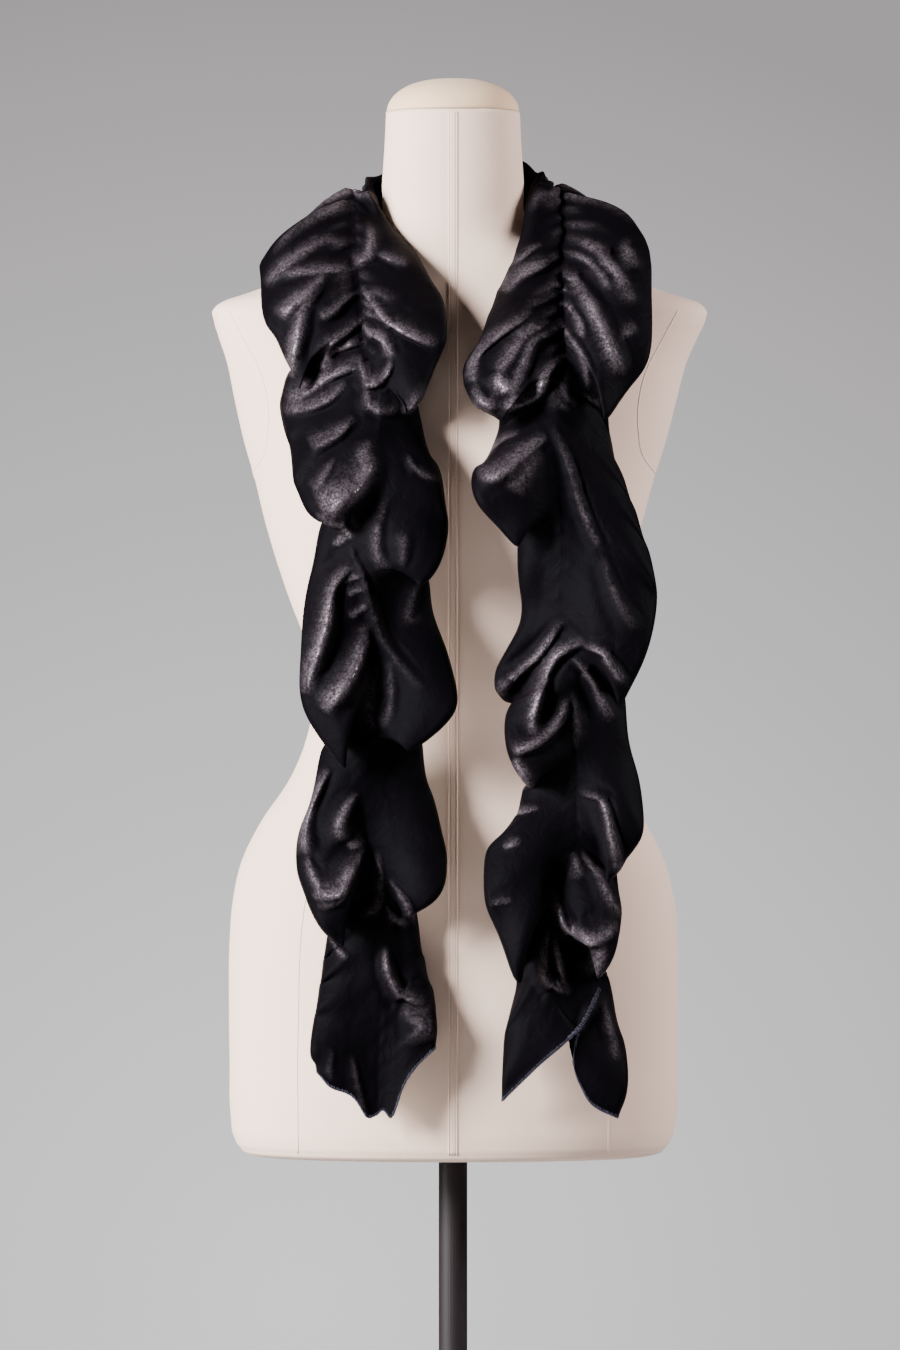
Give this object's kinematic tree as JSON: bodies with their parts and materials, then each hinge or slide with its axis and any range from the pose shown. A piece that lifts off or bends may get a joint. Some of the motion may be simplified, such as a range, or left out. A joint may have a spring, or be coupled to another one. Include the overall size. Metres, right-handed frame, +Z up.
{
  "type": "velvet scarf on dress form",
  "caption": "Ruched velvet scarf with ruffled edges, hung round the neck of a limbless padded dress form on a round floor stand.",
  "frame": {"origin": "centre of the stand's underside, on the floor", "axes": "+Z up along the pole, +X to the viewer's right, -Y the way the form faces"},
  "size_m": [0.4, 0.4, 1.5788],
  "materials": {
    "velvet_left": "black velvet with a soft sheen",
    "velvet_neck": "black velvet with a soft sheen",
    "velvet_right": "black velvet with a soft sheen",
    "form_cover": "matt cream jersey",
    "cap_cover": "matt warm cream jersey",
    "pole_paint": "satin black",
    "base_paint": "satin black"
  },
  "bodies": {
    "root": {"scarf_left_tail": "velvet_left", "scarf_neck_stretch": "velvet_neck", "scarf_right_tail": "velvet_right", "dress_form_torso": "form_cover", "dress_form_neck_cap": "cap_cover", "stand_pole": "pole_paint", "stand_base": "base_paint"}
  },
  "joints": []
}
